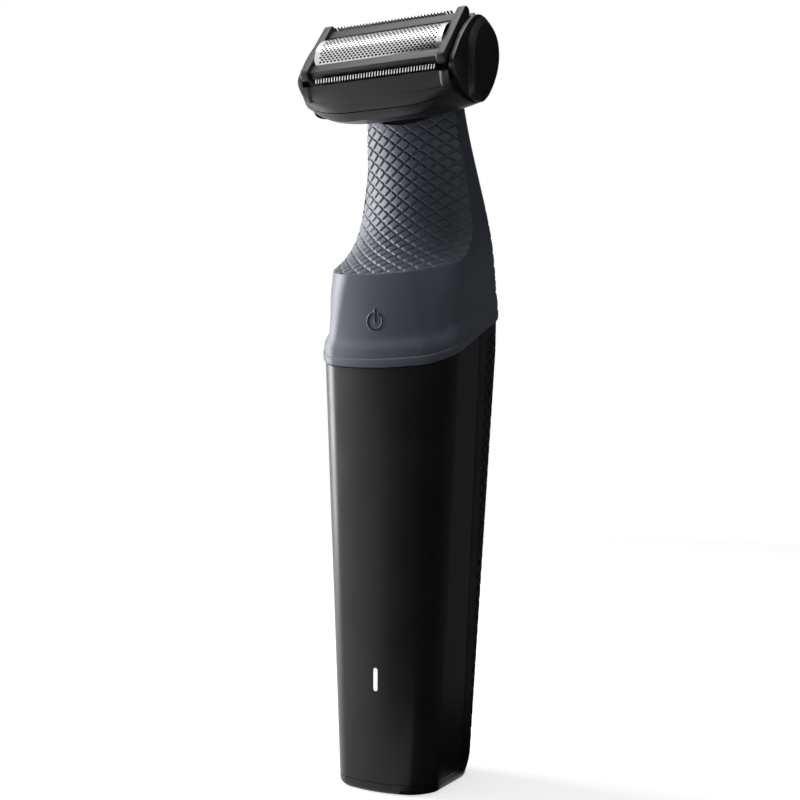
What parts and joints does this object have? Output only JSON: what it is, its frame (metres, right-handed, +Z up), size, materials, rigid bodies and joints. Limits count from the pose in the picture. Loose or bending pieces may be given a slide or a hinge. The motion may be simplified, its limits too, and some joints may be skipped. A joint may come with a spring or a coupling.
{
  "type": "body groomer",
  "caption": "Standing cordless body groomer with a tapered black handle, a soft blue-grey neck with a thumb scoop and a tilted foil shaving head with trimmers.",
  "frame": {"origin": "on the foot, under the handle's axis", "axes": "+Z up the handle, -Y out of the front face with the power button, +X to the right seen from behind the front face"},
  "size_m": [0.0438, 0.0374, 0.1801],
  "materials": {
    "shell_black": "satin gloss",
    "grip_black": "matte, textured",
    "neck_blue_grey": "soft touch",
    "head_black": "satin",
    "steel": "polished",
    "light_white": "translucent white",
    "inner_grey": "moulded",
    "inner_ivory": "moulded acetal",
    "board_green": "solder mask",
    "cell_blue": "sleeved",
    "seal_rubber": "soft"
  },
  "bodies": {
    "handle": {"front_shell": "shell_black", "rear_grip": "grip_black", "base_cap": "shell_black", "neck_grip": "neck_blue_grey", "light_pipe": "light_white", "chassis": "inner_grey", "battery_cell": "cell_blue", "battery_tabs": "steel", "circuit_board": "board_green", "board_screws": "steel", "tact_switch": "inner_grey", "status_led": "light_white", "charging_socket": "head_black", "charging_pins": "steel", "motor": "steel", "motor_screws": "steel", "arm_guide": "inner_grey", "neck_plug": "head_black", "neck_seal": "seal_rubber"},
    "button": {"power_button": "neck_blue_grey"},
    "rotor": {"motor_shaft": "steel", "eccentric": "inner_ivory"},
    "arm": {"drive_arm": "inner_ivory"},
    "head": {"head_housing": "head_black", "end_cap_left": "head_black", "end_cap_right": "head_black", "cassette_springs": "steel"},
    "cassette": {"cassette_frame": "head_black", "shaving_foil": "steel", "front_trimmer_guard": "steel", "rear_trimmer_guard": "steel"},
    "cutter": {"cutter_block": "inner_ivory", "cutter_blades": "steel", "front_trimmer_blade": "steel", "rear_trimmer_blade": "steel"}
  },
  "joints": [
    {"name": "power_button_press", "type": "slide", "parent": "handle", "child": "button", "axis": [0, 1, 0], "range_m": [0, 0.0005], "stiffness_N_per_m": 800},
    {"name": "head_release", "type": "slide", "parent": "handle", "child": "head", "axis": [0, -0.766, 0.6428], "range_m": [0, 0.02]},
    {"name": "cassette_float", "type": "slide", "parent": "head", "child": "cassette", "axis": [0, 0.766, -0.6428], "range_m": [0, 0.0015], "stiffness_N_per_m": 500, "springref_m": -0.001, "deforming": ["cassette_springs"]},
    {"name": "motor_spin", "type": "hinge", "parent": "handle", "child": "rotor", "pos_m": [0, 0.005, 0.115], "axis": [0, 0, 1], "range_deg": [-90, 90]},
    {"name": "drive_slide", "type": "slide", "parent": "handle", "child": "arm", "axis": [1, 0, 0], "range_m": [-0.0012, 0.0012]},
    {"name": "cutter_slide", "type": "slide", "parent": "cassette", "child": "cutter", "axis": [1, 0, 0], "range_m": [-0.0012, 0.0012]}
  ],
  "couplings": [
    {"joint": "motor_spin", "follows": "drive_slide", "rad_per_m": 1309},
    {"joint": "cutter_slide", "follows": "drive_slide", "ratio": 1}
  ]
}
